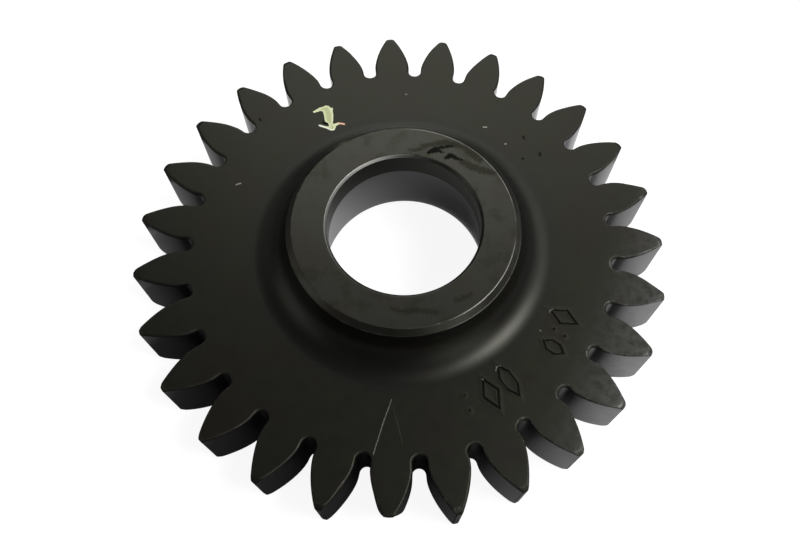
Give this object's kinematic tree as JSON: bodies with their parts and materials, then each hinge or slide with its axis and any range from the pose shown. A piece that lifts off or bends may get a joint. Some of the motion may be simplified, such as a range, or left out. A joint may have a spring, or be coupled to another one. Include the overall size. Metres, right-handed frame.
{
  "type": "pump gear",
  "caption": "One-piece spur gear for a pump drive, with a raised hub on one side and a 1 in 5 taper bore that widens towards the flat back.",
  "frame": {"origin": "centre of the flat back face, on the gear's axis", "axes": "+Z along the gear's axis, out of the hub; +X through the middle of one tooth"},
  "size_m": [0.1097, 0.1092, 0.0237],
  "materials": {
    "blackened_steel": "satin"
  },
  "bodies": {
    "root": {"pump_gear": "blackened_steel"}
  },
  "joints": []
}
